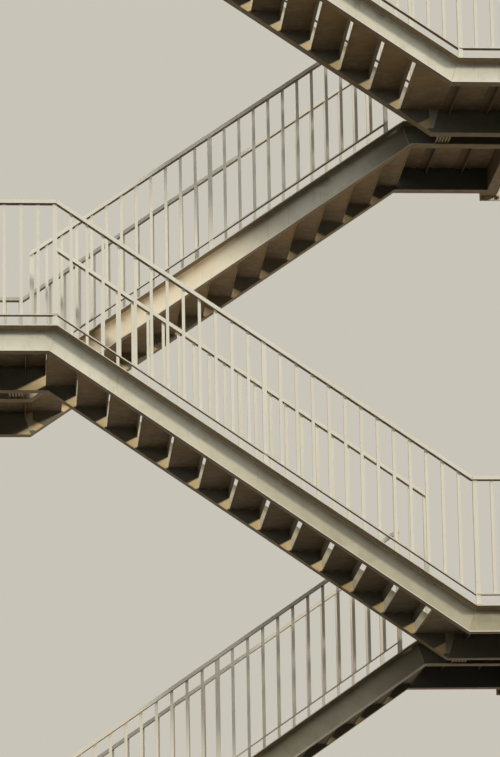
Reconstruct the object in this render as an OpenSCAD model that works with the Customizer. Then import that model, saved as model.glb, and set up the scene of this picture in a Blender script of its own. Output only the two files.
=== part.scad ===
// External steel fire escape stair: two lanes of flights side by side, fixed to a wall.
// The stair runs along X, the wall stands at the high-Y side, and Z points up.
// The origin lies on the wall face of the lowest landing's end wall plate, at that plate's centre.

/* [Steps] */
// Height of one riser
riser_h = 180; // [150:1:200]
// Depth of one tread from nosing to nosing
going = 260; // [220:1:300]
// Risers in one flight
risers = 13; // [8:1:18]
// Clear width of one flight between its two stringers
lane_w = 1200; // [700:10:1600]
// Thickness of the folded tread and riser sheet
sheet = 5; // [4:0.5:8]
// Height of the riser sheet that hangs from each nosing
riser_sheet_h = 90; // [60:1:140]
// Height of the stiffening lip at the back of each tread
lip = 12; // [8:1:30]

/* [Channels] */
// Depth of the channel section used for stringers and landing edges
channel_h = 220; // [160:10:300]
// Width of its flanges, over the web
flange_w = 110; // [60:1:120]
// Thickness of its web
web = 7; // [5:0.5:10]
// Thickness of its flanges halfway out
flange_t = 11.5; // [8:0.5:14]
// Radius in the corner between web and flange
root_r = 12; // [6:0.5:14]
// Vertical height of the stringer's top edge over the line of nosings
stringer_rise = 61; // [40:1:110]
// Distance between the facing webs of the two lanes
lane_gap = 430; // [300:10:700]

/* [Landings] */
// Landings, counted from the ground
landings = 5; // [2:1:6]
// Length of a landing from the arriving flight's nosing to its end channel
landing_l = 850; // [750:10:1400]
// How far the leaving flight starts past the arriving flight's nosing
lane_offset = 155; // [0:5:250]
// Thickness of the landing floor plate
floor_t = 6; // [5:1:10]
// Side of the angle joists under the floor
joist = 63; // [50:1:75]
// Thickness of the angle joists
joist_t = 6; // [5:1:8]
// Distance of a left landing's first joist from the arriving flight's nosing
joist_first = 175; // [80:5:250]
// The same distance on a right landing
right_joist_first = 280; // [80:5:350]
// Distance between the two joists
joist_pitch = 333; // [150:1:350]

/* [Wall fixing] */
// Clear distance from the last flange tip to the wall
wall_gap = 100; // [60:5:200]
// Thickness of the wall plates
wall_plate_t = 14; // [10:1:20]
// Width of a wall plate
wall_plate_w = 200; // [180:5:260]
// Height of a wall plate
wall_plate_h = 300; // [290:5:380]
// Distance between the wall bolts along the wall
wall_bolt_x = 140; // [120:5:150]
// Distance between the wall bolts up the wall
wall_bolt_z = 240; // [200:5:250]
// Diameter of the wall bolt holes
wall_hole_d = 22; // [14:1:26]
// Depth of the short bracket channel behind the wall-side landing channel
bracket_h = 140; // [100:5:160]
// Width of the bracket channel's flanges
bracket_w = 58; // [40:1:70]
// Thickness of the bracket channel's web
bracket_web = 6; // [4:0.5:8]
// Thickness of the bracket channel's flanges halfway out
bracket_t = 9.5; // [7:0.5:11]
// Width that the bracket's wall plate reaches past it on each side
bracket_rim = 50; // [45:1:60]
// Distance of the bracket channel from the end channel
bracket_x = 330; // [250:5:400]

/* [Foot] */
// Thickness of the foot plates on the ground
foot_t = 12; // [8:1:20]
// Width that a foot plate reaches inside the stringer
foot_in = 60; // [45:1:80]
// Height of the plumb cut at the stringer's toe
toe_h = 60; // [40:1:90]
// Distance between the foot bolts along the stair
foot_bolt_x = 200; // [150:5:220]
// Distance between the foot bolts across the stringer
foot_bolt_y = 74; // [66:1:80]
// Length that a foot plate reaches past the stringer at each end
foot_rim = 30; // [20:1:60]
// Diameter of the foot bolt holes
foot_hole_d = 14; // [10:1:18]

/* [Railings] */
// Height of the top rail over the channels, measured plumb
rail_h = 1075; // [900:5:1200]
// Width of the top rail
rail_w = 70; // [45:1:90]
// Thickness of the top rail
rail_t = 30; // [20:1:40]
// Side of a square post
post = 38; // [35:1:60]
// Side of a square baluster
baluster = 25; // [16:1:30]
// Thickness of the flat bottom rail
base_t = 10; // [6:1:14]
// Width of the flat bottom rail
base_w = 55; // [45:1:90]
// Clear height under the bottom rail
base_gap = 90; // [60:1:120]
// Largest wanted distance between balusters on a landing
panel_pitch = 136; // [110:1:150]
// Length of a free-ended railing between its end posts
inner_rail_l = 3150; // [2900:10:3200]
// Distance from a front lane's upper knee post to its nosing
lane_rail_start = 96; // [60:1:150]
// The same distance in the wall lane, where the railing starts lower
wall_rail_start = 240; // [180:1:300]
// Gap between railing panels where they meet at a corner
panel_gap = 0.4; // [0.2:0.1:0.8]

/* [Finish] */
// Colour of the paint
paint = "#cdc6b2"; // ["#cdc6b2", "#8d9a94", "#3c4a44"]

/* [Hidden] */
flight_rise = risers * riser_h;
last_nosing = (risers - 1) * going;
fall = riser_h / going;
pitch = atan(fall);
lane_pitch = lane_w + lane_gap;
far_edge = lane_offset + last_nosing;
upper_knee = stringer_rise / fall;
lower_knee = last_nosing + going + upper_knee;
mitre = tan(pitch / 2);
seam_x = lane_offset + last_nosing - lower_knee;
wall_y = lane_pitch + lane_w + flange_w + wall_gap;
end_x = -landing_l - flange_w / 2;
plate_z = flight_rise - channel_h / 2;
flange_slope = 0.1;
huge = 8000;
cut = 1;

function is_left(n) = n % 2 == 1;
// Lane in which flight n arrives at landing n, and the lane in which the next flight leaves
function arrive_y(n) = is_left(n) ? 0 : lane_pitch;
function leave_y(n) = is_left(n) ? lane_pitch : 0;

FLIGHT_PARTS = ["front_stringer", "rear_stringer", "steps", "front_railing", "rear_railing"];
LANDING_PARTS = ["floor", "edge_channels", "cross_beams", "railing"];

// Puts the stair's own frame, whose zero is the lowest left nosing on the ground, at the wall plate
module from_plate() {
    translate([-end_x, -wall_y, -plate_z])
        children();
}

// Frame of flight n and its landing: zero at the top nosing, the flight falls towards +X
module at_level(n) {
    from_plate()
        translate([is_left(n) ? 0 : far_edge, 0, n * flight_rise])
            mirror([is_left(n) ? 0 : 1, 0, 0])
                children();
}

// Rolled channel section with tapered flanges, its back on the left and its depth up the page
module channel_section(h, w, tw, tf, r) {
    lean = sqrt(1 + flange_slope * flange_slope);
    middle = (w - tw) / 2 + tw;
    function inner(x) = tf + (middle - x) * flange_slope;
    cx = tw + r;
    cy = inner(cx) + r * lean;
    tx = cx - r * flange_slope / lean;
    ty = cy - r / lean;
    difference() {
        square([w, h]);
        polygon([
            [tw, cy],
            [tx, ty],
            [w + cut, inner(w + cut)],
            [w + cut, h - inner(w + cut)],
            [tx, h - ty],
            [tw, h - cy]
        ]);
        translate([cx, cy])
            circle(r, $fn = 48);
        translate([cx, h - cy])
            circle(r, $fn = 48);
    }
}

// Channel along X from x0 to x1, back on Y = 0, flanges towards -Y, top at Z = 0
module channel(x0, x1) {
    translate([x0, 0, 0])
        rotate([-90, 0, -90])
            linear_extrude(x1 - x0)
                channel_section(channel_h, flange_w, web, flange_t, root_r);
}

// Everything on the +X side of the mitre plane through the top edge's knee at x, z
module past_mitre(x, z) {
    translate([x, 0, z])
        rotate([0, pitch / 2, 0])
            translate([0, -huge / 2, -huge / 2])
                cube(huge);
}

// Sloping channel, long enough to be cut at both ends
module sloping_channel() {
    translate([0, 0, stringer_rise])
        rotate([0, pitch, 0])
            channel(-channel_h, (lower_knee + 2 * channel_h) / cos(pitch));
}

// Stringer between two landings, mitred against their level channels at both knees
module stringer_body() {
    difference() {
        intersection() {
            sloping_channel();
            past_mitre(upper_knee, 0);
        }
        past_mitre(lower_knee, -flight_rise);
    }
}

// Lowest stringer: cut level over its foot plate, and plumb at the toe
module footed_stringer_body() {
    ground = -flight_rise;
    toe_x = lower_knee - (foot_t + toe_h) / fall;
    heel_x = (stringer_rise - channel_h / cos(pitch) - ground - foot_t) / fall;
    bolt_x = (heel_x + toe_x) / 2;
    web_y = (foot_in - flange_w) / 2;
    intersection() {
        sloping_channel();
        past_mitre(upper_knee, 0);
        translate([-huge / 2, -huge / 2, ground + foot_t])
            cube([huge / 2 + toe_x, huge, huge]);
    }
    difference() {
        translate([heel_x - foot_rim, -flange_w, ground])
            cube([toe_x - heel_x + 2 * foot_rim, flange_w + foot_in, foot_t]);
        for (sx = [-1, 1], sy = [-1, 1])
            translate([bolt_x + sx * foot_bolt_x / 2, web_y + sy * foot_bolt_y / 2, ground - cut])
                cylinder(h = foot_t + 2 * cut, d = foot_hole_d, $fn = 32);
    }
}

// Front or rear side of a lane that starts at y: the rear one is the front one mirrored
module lane_side(y, rear) {
    translate([0, y + (rear ? lane_w : 0), 0])
        mirror([0, rear ? 1 : 0, 0])
            children();
}

module stringer(n, rear) {
    color(paint)
        at_level(n)
            lane_side(arrive_y(n), rear)
                if (n == 1)
                    footed_stringer_body();
                else
                    stringer_body();
}

// Folded step: tread, riser sheet hanging from the nosing, and stiffening lip at the back
module step_sheet() {
    rotate([90, 0, 0])
        linear_extrude(lane_w)
            polygon([
                [0, 0],
                [0, -riser_sheet_h],
                [-sheet, -riser_sheet_h],
                [-sheet, -sheet],
                [sheet - going, -sheet],
                [sheet - going, -lip],
                [-going, -lip],
                [-going, 0]
            ]);
}

module steps(n) {
    color(paint)
        at_level(n)
            for (k = [1 : risers - 1])
                translate([k * going, arrive_y(n) + lane_w, -k * riser_h])
                    step_sheet();
}

// Upright or rail seen from the front: x0 to x1 wide, slanted by s, d deep about Y = 0
module bar(x0, x1, low, high, s, d) {
    rotate([90, 0, 0])
        linear_extrude(d, center = true)
            polygon([
                [x0, low - s * x0],
                [x1, low - s * x1],
                [x1, high - s * x1],
                [x0, high - s * x0]
            ]);
}

// Square upright of one side, centred on x
module upright(x, side, low, high, s) {
    bar(x - side / 2, x + side / 2, low, high, s, side);
}

// Top rail of a slope from x0 to x1, either end plumb or mitred against a level rail
module sloping_rail(x0, x1, mitre0, mitre1) {
    top = stringer_rise + rail_h;
    deep = rail_t / cos(pitch);
    shift = rail_t * mitre;
    rotate([90, 0, 0])
        linear_extrude(rail_w, center = true)
            polygon([
                [x0, top - fall * x0],
                [x1, top - fall * x1],
                mitre1 ? [x1 - shift, top - fall * x1 - rail_t] : [x1, top - fall * x1 - deep],
                mitre0 ? [x0 - shift, top - fall * x0 - rail_t] : [x0, top - fall * x0 - deep]
            ]);
}

// Railing down a flight, with post centres at x0 and x1, and own end posts where they are free
module flight_railing(x0, x1, free0, free1) {
    edge = stringer_rise;
    rail_mid = edge + rail_h - rail_t / 2 / cos(pitch);
    base_low = edge + base_gap;
    base_mid = base_low + base_t / 2;
    spaces = 2 * round((x1 - x0) / going);
    step_x = (x1 - x0) / spaces;
    // A joined end stops at the knee, on the face of the landing's own post
    e0 = free0 ? x0 - post / 2 : x0 + post / 2;
    e1 = free1 ? x1 + post / 2 : x1 - post / 2;
    sloping_rail(e0, e1, !free0, !free1);
    bar(e0, e1, base_low, base_low + base_t, fall, base_w);
    for (i = [1 : spaces - 1])
        if (i != spaces / 2)
            upright(x0 + i * step_x, baluster, base_mid, rail_mid, fall);
    for (x = [if (free0) x0, (x0 + x1) / 2, if (free1) x1])
        upright(x, post, edge, rail_mid, fall);
}

module railing(n, rear) {
    left = is_left(n);
    start = left ? lane_rail_start : wall_rail_start;
    joined0 = left && !rear;
    joined1 = left ? !rear && n > 1 : rear;
    x0 = joined0 ? upper_knee - post / 2 : start;
    x1 = joined1 ? lower_knee + post / 2 : start + inner_rail_l;
    color(paint)
        at_level(n)
            lane_side(arrive_y(n), rear)
                translate([0, -flange_w / 2, 0])
                    flight_railing(x0, x1, !joined0, !joined1);
}

// Floor: a plate in each lane, and one between the facing flanges of the two lanes
module landing_floor(n) {
    color(paint)
        at_level(n) {
            translate([0, arrive_y(n) + lane_w, 0])
                rotate([90, 0, 0])
                    linear_extrude(lane_w)
                        polygon([
                            [0, 0],
                            [0, -riser_sheet_h],
                            [-sheet, -riser_sheet_h],
                            [-sheet, -floor_t],
                            [-landing_l, -floor_t],
                            [-landing_l, 0]
                        ]);
            translate([0, leave_y(n) + lane_w, 0])
                rotate([90, 0, 0])
                    linear_extrude(lane_w)
                        polygon([
                            [lane_offset, 0],
                            [lane_offset, -lip],
                            [lane_offset - sheet, -lip],
                            [lane_offset - sheet, -floor_t],
                            [-landing_l, -floor_t],
                            [-landing_l, 0]
                        ]);
            translate([-landing_l, lane_w + flange_w, -floor_t])
                cube([landing_l + (n < landings ? 0 : lane_offset), lane_gap - 2 * flange_w, floor_t]);
        }
}

// Turns the frame of a landing into that of the flight which leaves it, with the floor at zero
module from_leaving_flight() {
    translate([far_edge, 0, 0])
        mirror([1, 0, 0])
            children();
}

module edge_channels(n) {
    color(paint)
        at_level(n)
            for (rear = [false, true]) {
                lane_side(arrive_y(n), rear)
                    difference() {
                        channel(-landing_l, upper_knee);
                        past_mitre(upper_knee, 0);
                    }
                lane_side(leave_y(n), rear)
                    if (n < landings)
                        from_leaving_flight()
                            intersection() {
                                channel(lower_knee - channel_h, far_edge + landing_l);
                                past_mitre(lower_knee, 0);
                            }
                    else
                        channel(-landing_l, lane_offset);
            }
}

// Channel along Y with its back on X = 0 and its flanges towards -X, from y0 to y1
module cross_channel(y0, y1) {
    translate([0, y1, 0])
        rotate([0, 0, -90])
            channel(0, y1 - y0);
}

module wall_plate(h, w, bolt_x, bolt_z, hole_d) {
    translate([0, wall_y, 0])
        rotate([90, 0, 0])
            difference() {
                translate([-w / 2, -h / 2, 0])
                    cube([w, h, wall_plate_t]);
                for (sx = [-1, 1], sz = [-1, 1])
                    translate([sx * bolt_x / 2, sz * bolt_z / 2, -cut])
                        cylinder(h = wall_plate_t + 2 * cut, d = hole_d, $fn = 32);
            }
}

// Angle joist along Y from y0 to y1, one leg flat under the floor
module joist_angle(y0, y1) {
    translate([0, y1, -floor_t])
        rotate([90, 0, 0])
            linear_extrude(y1 - y0)
                polygon([
                    [0, 0],
                    [joist, 0],
                    [joist, -joist_t],
                    [joist_t, -joist_t],
                    [joist_t, -joist],
                    [0, -joist]
                ]);
}

module cross_beams(n) {
    color(paint)
        at_level(n) {
            // End channel, carried by its own wall plate
            translate([-landing_l, 0, 0])
                cross_channel(-flange_w, wall_y - wall_plate_t);
            translate([end_x, 0, -channel_h / 2])
                wall_plate(wall_plate_h, wall_plate_w, wall_bolt_x, wall_bolt_z, wall_hole_d);
            // Short bracket between the wall-side landing channel and the wall
            translate([bracket_x - landing_l, 0, -channel_h / 2]) {
                translate([-bracket_w / 2, wall_y - wall_plate_t, -bracket_h / 2])
                    rotate([90, 0, 0])
                        linear_extrude(wall_gap + flange_w - web - wall_plate_t)
                            channel_section(bracket_h, bracket_w, bracket_web, bracket_t, bracket_t);
                wall_plate(bracket_h, bracket_w + 2 * bracket_rim, bracket_w + bracket_rim, bracket_h / 2,
                    wall_hole_d);
            }
            for (j = [0, 1])
                translate([-(is_left(n) ? joist_first : right_joist_first) - j * joist_pitch, 0, 0]) {
                    joist_angle(0, lane_w);
                    joist_angle(lane_w + flange_w, lane_pitch - flange_w);
                    joist_angle(lane_pitch, lane_pitch + lane_w);
                }
            if (n == landings)
                translate([lane_offset, 0, 0])
                    mirror([1, 0, 0])
                        if (is_left(n))
                            cross_channel(lane_w + flange_w, lane_pitch + lane_w + flange_w);
                        else
                            cross_channel(-flange_w, lane_pitch - flange_w);
        }
}

// Posts and balusters of a level panel along X between post centres x0 and x1
module level_uprights(x0, x1, spaces, posts) {
    step_x = (x1 - x0) / spaces;
    for (i = [0 : spaces])
        if (len(search(i, posts)) > 0)
            upright(x0 + i * step_x, post, 0, rail_h - rail_t / 2, 0);
        else if (i > 0 && i < spaces)
            upright(x0 + i * step_x, baluster, base_gap + base_t / 2, rail_h - rail_t / 2, 0);
}

// Level top rail from x0 to x1, whose underside ends further on by shift
module level_rail(x0, x1, shift) {
    rotate([90, 0, 0])
        linear_extrude(rail_w, center = true)
            polygon([
                [x0, rail_h],
                [x1, rail_h],
                [x1 + shift, rail_h - rail_t],
                [x0, rail_h - rail_t]
            ]);
}

// Panel along X from the landing's end corner to a post at x1, whose top rail runs on to rail_x
module side_panel(x1, rail_x, shift) {
    spaces = round((x1 - end_x) / panel_pitch);
    level_uprights(end_x, x1, spaces, [0, spaces]);
    level_rail(end_x - rail_w / 2, rail_x, shift);
    bar(end_x, x1, base_gap, base_gap + base_t, 0, base_w);
}

// Side panels that end in a corner post beside the knee of a falling or a rising flight, or at a corner
module panel_to_fall(knee) {
    side_panel(knee - post / 2, knee, -rail_t * mitre);
}

module panel_to_rise(knee) {
    side_panel(knee - post / 2, knee, rail_t * mitre);
}

module panel_to_corner(x) {
    side_panel(x, x + rail_w / 2, 0);
}

// Panel along Y: each end has its own post, or stops beside the corner post of a side panel
module cross_panel(y0, y1, post0, post1) {
    spaces = 3 * round((y1 - y0) / 3 / panel_pitch);
    inset = rail_w / 2 + panel_gap;
    base_inset = base_w / 2 + panel_gap;
    posts = [if (post0) 0, spaces / 3, 2 * spaces / 3, if (post1) spaces];
    rotate([0, 0, 90]) {
        level_uprights(y0, y1, spaces, posts);
        bar(y0 + (post0 ? -rail_w / 2 : inset), y1 + (post1 ? rail_w / 2 : -inset),
            rail_h - rail_t, rail_h, 0, rail_w);
        bar(y0 + (post0 ? 0 : base_inset), y1 - (post1 ? 0 : base_inset),
            base_gap, base_gap + base_t, 0, base_w);
    }
}

module landing_railing(n) {
    left = is_left(n);
    top = n == landings;
    front_y = -flange_w / 2;
    rear_y = lane_pitch + lane_w + flange_w / 2;
    guard_x = lane_offset + flange_w / 2;
    color(paint)
        at_level(n) {
            translate([0, front_y, 0])
                if (left)
                    panel_to_fall(upper_knee);
                else if (top)
                    panel_to_corner(guard_x);
                else
                    panel_to_rise(seam_x);
            translate([end_x, 0, 0])
                cross_panel(front_y, left || top ? rear_y : lane_pitch - flange_w / 2, false, !left && !top);
            if (left || top)
                translate([0, rear_y, 0])
                    if (!left)
                        panel_to_fall(upper_knee);
                    else if (top)
                        panel_to_corner(guard_x);
                    else
                        panel_to_rise(seam_x);
            if (top)
                translate([guard_x, 0, 0])
                    if (left)
                        cross_panel(lane_w + flange_w + post / 2, rear_y, true, false);
                    else
                        cross_panel(front_y, lane_pitch - flange_w - post / 2, false, true);
        }
}

for (n = [1 : landings]) {
    stringer(n, false);
    stringer(n, true);
    steps(n);
    railing(n, false);
    railing(n, true);
    landing_floor(n);
    edge_channels(n);
    cross_beams(n);
    landing_railing(n);
}
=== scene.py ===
# %% [markdown]
# # A fire escape stair, dressed for its photograph
#
# The stair is carried by wall plates: folded steel treads between rolled channels, landings at every
# half storey, and barred railings of square tube. The exact solids come from the imported model, which
# is loaded first and never moved. Everything after that is looks: paint, dirt and rust on those
# solids, painted light and shade on them, and the small things that a welder and a fitter leave on
# such a stair: weld beads, anchor bolts and packing bars.

# %% Load the imported model and keep its box
import math
import random

import bmesh
import bpy
from mathutils import Matrix, Vector


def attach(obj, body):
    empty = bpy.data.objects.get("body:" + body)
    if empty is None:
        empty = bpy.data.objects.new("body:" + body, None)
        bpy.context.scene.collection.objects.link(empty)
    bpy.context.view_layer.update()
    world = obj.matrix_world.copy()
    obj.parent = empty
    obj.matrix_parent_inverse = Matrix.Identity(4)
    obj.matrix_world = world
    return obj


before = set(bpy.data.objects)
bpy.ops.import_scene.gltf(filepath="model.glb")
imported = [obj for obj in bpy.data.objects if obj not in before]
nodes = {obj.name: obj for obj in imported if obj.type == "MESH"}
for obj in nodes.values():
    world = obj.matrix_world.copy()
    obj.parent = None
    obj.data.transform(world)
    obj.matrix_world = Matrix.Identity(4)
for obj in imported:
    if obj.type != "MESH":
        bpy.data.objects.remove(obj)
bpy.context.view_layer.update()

# %% [markdown]
# ## The sizes that the dressing shares with the solids
#
# A weld sits where two pieces meet, so its place has to come from the same sizes as theirs. They are
# repeated here in metres. The stair is periodic: every flight is the same, turned left or right, one
# rise above the last. So one function, `at`, takes a point of any flight to its place in the model.

# %% Shared sizes and the place of a point on flight or landing n
RISER, GOING, RISERS = 0.180, 0.260, 13
LANE_W, LANE_GAP, LANDING_L, LANE_OFFSET, WALL_GAP = 1.200, 0.430, 0.850, 0.155, 0.100
CHANNEL_H, FLANGE_W, FLANGE_T, WEB = 0.220, 0.110, 0.0115, 0.007
RAIL_H, RAIL_W, RAIL_T, POST, BALUSTER = 1.075, 0.070, 0.030, 0.038, 0.025
BASE_GAP, BASE_T, PANEL_PITCH = 0.090, 0.010, 0.136
EDGE = 0.061  # channel's top edge over the line of the nosings
RISE = RISER * RISERS
FALL = RISER / GOING
PITCH = math.atan(FALL)
LANE_PITCH = LANE_W + LANE_GAP
FAR_EDGE = LANE_OFFSET + (RISERS - 1) * GOING
UPPER_KNEE = EDGE / FALL
LOWER_KNEE = RISERS * GOING + UPPER_KNEE
SEAM = FAR_EDGE - LOWER_KNEE
END_X = -LANDING_L - FLANGE_W / 2
WALL_Y = LANE_PITCH + LANE_W + FLANGE_W + WALL_GAP
HOME = Vector((-END_X, -WALL_Y, CHANNEL_H / 2 - RISE))
LANDINGS = range(1, 6)
LANES = ((0, LANE_W), (LANE_PITCH, LANE_PITCH + LANE_W))


def is_left(n):
    return n % 2 == 1


def turned(n):
    """Takes the own frame of flight n and its landing to the model: zero at the top nosing, falling to +X."""
    side = Matrix.Identity(4) if is_left(n) else Matrix.Diagonal((-1, 1, 1, 1))
    start = Vector((0 if is_left(n) else FAR_EDGE, 0, n * RISE))
    return Matrix.Translation(HOME + start) @ side


def at(n, x, y, z):
    return turned(n) @ Vector((x, y, z))


def arrive_y(n):
    return 0 if is_left(n) else LANE_PITCH


def leave_y(n):
    return LANE_PITCH if is_left(n) else 0


print("pitch", round(math.degrees(PITCH), 2), "degrees; top landing at", round(at(5, 0, 0, 0).z, 3), "m")

# %% [markdown]
# ## The camera
#
# The camera stands about 25 m away, close to the ground, and looks up. Uprights in the photo hardly
# lean, so the picture was straightened: the camera tilts less than the view is high, and the rest is
# a lens shift. Only a small shift is used here, because other views keep it, so the tilt does more.
# Place, tilt and turn were solved from edges measured in the photo, and so was the lens. It is long:
# about 150 mm, for a picture that is 36 mm high on the sensor.

# %% Camera from the solved place, tilt and turn
PHOTO_H, FOCAL_PIXELS, SENSOR = 757, 3162.4, 36
STAND = Vector((-0.224, -25.107, 0.130))
camera_data = bpy.data.cameras.new("camera")
camera = bpy.data.objects.new("camera", camera_data)
bpy.context.scene.collection.objects.link(camera)
look_up, look_aside, roll = math.radians(12.347), math.radians(-4.265), math.radians(1.001)
aim = Matrix.Rotation(look_aside, 3, "Z") @ Matrix.Rotation(look_up, 3, "X") @ Matrix.Rotation(roll, 3, "Y")
right, ahead, up = aim.col[0], aim.col[1], aim.col[2]
camera.matrix_world = Matrix.Translation(HOME + STAND) @ Matrix(
    (
        (right.x, up.x, -ahead.x, 0),
        (right.y, up.y, -ahead.y, 0),
        (right.z, up.z, -ahead.z, 0),
        (0, 0, 0, 1),
    )
)
camera_data.sensor_width = SENSOR
camera_data.lens = FOCAL_PIXELS / PHOTO_H * SENSOR
camera_data.shift_y = 0.15
camera_data.clip_end = 400
bpy.context.scene.camera = camera
bpy.context.scene.view_settings.view_transform = "Standard"
print("camera at", [round(v, 2) for v in camera.location], "lens", round(camera_data.lens, 1))

# %% [markdown]
# ## Shader maths as plain expressions
#
# Dirt, rust and wear are sums and products of simple masks. Written as nodes they are hard to read,
# so a `Wire` stands for one output socket and takes part in `+ - * /` like a number. Each operator
# adds a Math node. A `Shader` adds every other kind of node with one method, and a `Paint` is the
# shader of one material, with the patterns and mixes that all the finishes use.

# %% A socket that can be used in sums
class Wire:
    """One output socket of a shader node, for use in expressions on values."""

    def __init__(self, shader, socket):
        self.shader, self.socket = shader, socket

    def maths(self, operation, first, second=0.0):
        return self.shader.node("ShaderNodeMath", {"operation": operation}, [first, second])

    def __add__(self, other):
        return self.maths("ADD", self, other)

    def __sub__(self, other):
        return self.maths("SUBTRACT", self, other)

    def __rsub__(self, other):
        return self.maths("SUBTRACT", other, self)

    def __mul__(self, other):
        return self.maths("MULTIPLY", self, other)

    def __truediv__(self, other):
        return self.maths("DIVIDE", self, other)

    def __rtruediv__(self, other):
        return self.maths("DIVIDE", other, self)

    def __neg__(self):
        return self.maths("MULTIPLY", self, -1.0)

    __radd__, __rmul__ = __add__, __mul__

    def frac(self):
        return self.maths("FRACT", self)

    def size(self):
        return self.maths("ABSOLUTE", self)

    def most(self, other):
        return self.maths("MAXIMUM", self, other)

    def least(self, other):
        return self.maths("MINIMUM", self, other)

    def near(self, middle, reach):
        """1 at the middle value, falling to 0 at reach on both sides of it."""
        return (self - middle).size().ramp(reach, 0.0)

    def ramp(self, low, high):
        """0 below low, 1 above high, smooth between them. Low may be the larger one."""
        if low > high:
            return 1 - self.ramp(high, low)
        settings = {"interpolation_type": "SMOOTHSTEP"}
        return self.shader.node("ShaderNodeMapRange", settings, [self, low, high, 0.0, 1.0])


# %% A tree of nodes that hands out sockets, and the shader of a material
class Shader:
    """The nodes of a material or of the world."""

    def __init__(self, owner):
        owner.use_nodes = True
        self.tree = owner.node_tree
        self.tree.nodes.clear()

    def node(self, kind, settings=None, inputs=(), output=0):
        """Adds a node with its settings and with values or links for its sockets, by name or in order."""
        made = self.tree.nodes.new(kind)
        for key, value in (settings or {}).items():
            setattr(made, key, value)
        for key, value in inputs.items() if isinstance(inputs, dict) else enumerate(inputs):
            socket = made.inputs[key]
            if isinstance(value, Wire):
                self.tree.links.new(value.socket, socket)
            else:
                socket.default_value = value
        return Wire(self, made.outputs[output]) if len(made.outputs) else None

    def seen(self):
        """1 for what the camera sees, straight or mirrored, and 0 for light on its way elsewhere."""
        straight, mirrored = [
            self.node("ShaderNodeLightPath", output=name) for name in ("Is Camera Ray", "Is Glossy Ray")
        ]
        return straight.most(mirrored)


class Paint(Shader):
    """One procedural material, and the places on the stair that its masks are made from."""

    def __init__(self, name):
        self.material = bpy.data.materials.new(name)
        super().__init__(self.material)
        self.point = self.node("ShaderNodeTexCoord", output="Object")
        self.x, self.y, self.z = self.split(self.point)
        self.facing = self.split(self.node("ShaderNodeNewGeometry", output="Normal"))

    def split(self, vector):
        first = self.node("ShaderNodeSeparateXYZ", {}, [vector])
        return [Wire(self, socket) for socket in first.socket.node.outputs]

    def stretch(self, x, y, z, move=(0.0, 0.0, 0.0)):
        """The object's point, scaled along each axis, for patterns that run in streaks."""
        inputs = {"Vector": self.point, "Location": move, "Scale": (x, y, z)}
        return self.node("ShaderNodeMapping", {}, inputs)

    def noise(self, scale, detail=3.0, rough=0.55, vector=None, bend=0.0):
        inputs = {"Vector": vector or self.point, "Scale": scale, "Detail": detail, "Roughness": rough}
        return self.node("ShaderNodeTexNoise", {}, {**inputs, "Distortion": bend})

    def blend(self, share, first, second):
        settings = {"data_type": "RGBA", "blend_type": "MIX", "clamp_factor": True}
        return self.node("ShaderNodeMix", settings, {0: share, 6: first, 7: second}, output=2)

    def finish(self, colour, roughness, height, depth, metallic=0.0):
        """Puts the surface together: height is bump in shares of depth, which is in metres."""
        bump = self.node("ShaderNodeBump", {}, {"Strength": 1.0, "Distance": depth, "Height": height})
        inputs = {"Base Color": colour, "Roughness": roughness, "Normal": bump, "Metallic": metallic}
        surface = self.node("ShaderNodeBsdfPrincipled", {}, {**inputs, "Specular IOR Level": 0.4})
        self.node("ShaderNodeOutputMaterial", {}, {"Surface": surface})
        print("finish", self.material.name, "with", len(self.tree.nodes), "nodes")
        return self.material


# %% [markdown]
# ## Where dirt, rust and painted shade go on painted steel
#
# The whole stair has one coat of cream gloss paint, years old. Faces that look down are painted a
# warm brown, as painted shade. The backs of the channels are painted in deep shade below the steps.
# Dust from the street lies thicker the lower a part is, and the channels and steps of the lower
# storeys are painted darker still. Rust starts where water stands or the coat is thin: at the feet of
# uprights, at weld seams and along the nosings that shoes wear down.
#
# All of these places can be told from a point's height over the sloping edge of its channel. Flights
# repeat every two rises, so a modulo on that height serves all flights that fall the same way, and
# three kinds of steelwork are enough: falling to the right, falling to the left, and level. One
# material that followed every flight by itself would need many more nodes for the same look.

# %% The finishes' colours, and the height of a point over its channel
def tone(code):
    """A colour written as on screen, in the linear numbers that shaders use."""
    parts = [int(code[i : i + 2], 16) / 255 for i in (0, 2, 4)]
    linear = [p / 12.92 if p <= 0.04045 else ((p + 0.055) / 1.055) ** 2.4 for p in parts]
    return (*linear, 1.0)


CREAM, CHALK, TAN = tone("c6c1ae"), tone("cfcbbb"), tone("ab9b78")
GREY_GREEN, DUST, OLIVE_DIRT_AND_SHADE = tone("a6a48e"), tone("b39f78"), tone("4a4029")
UNDERSIDE_SHADE, DEEP_SHADE, BROWN_SHADE = tone("6f5a3b"), tone("1e1d17"), tone("54422a")
RUST, DARK_RUST, PALE_RUST = tone("6a4327"), tone("3a261a"), tone("94693f")
KINDS = ("falls_right", "falls_left", "level")


def over_channel(paint, kind):
    """Height over the channel's top edge, or over the floor on a landing, and the place along it."""
    along = paint.x - HOME.x
    level = paint.z - HOME.z
    if kind == "level":
        height = ((level / RISE + 0.25).frac() - 0.25) * RISE
        return height, along
    if kind == "falls_left":
        along = FAR_EDGE - along
    turn = (level + along * FALL) / (2 * RISE) - (0.5 if kind == "falls_right" else 0.0)
    height = ((turn + 0.25).frac() - 0.25) * (2 * RISE) - EDGE
    return height, along


def over_tread(kind, height, along):
    """Height over the tread or floor that is above or below a point."""
    if kind == "level":
        return height
    return height + (EDGE + RISER) - (along / GOING).frac() * RISER


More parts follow.
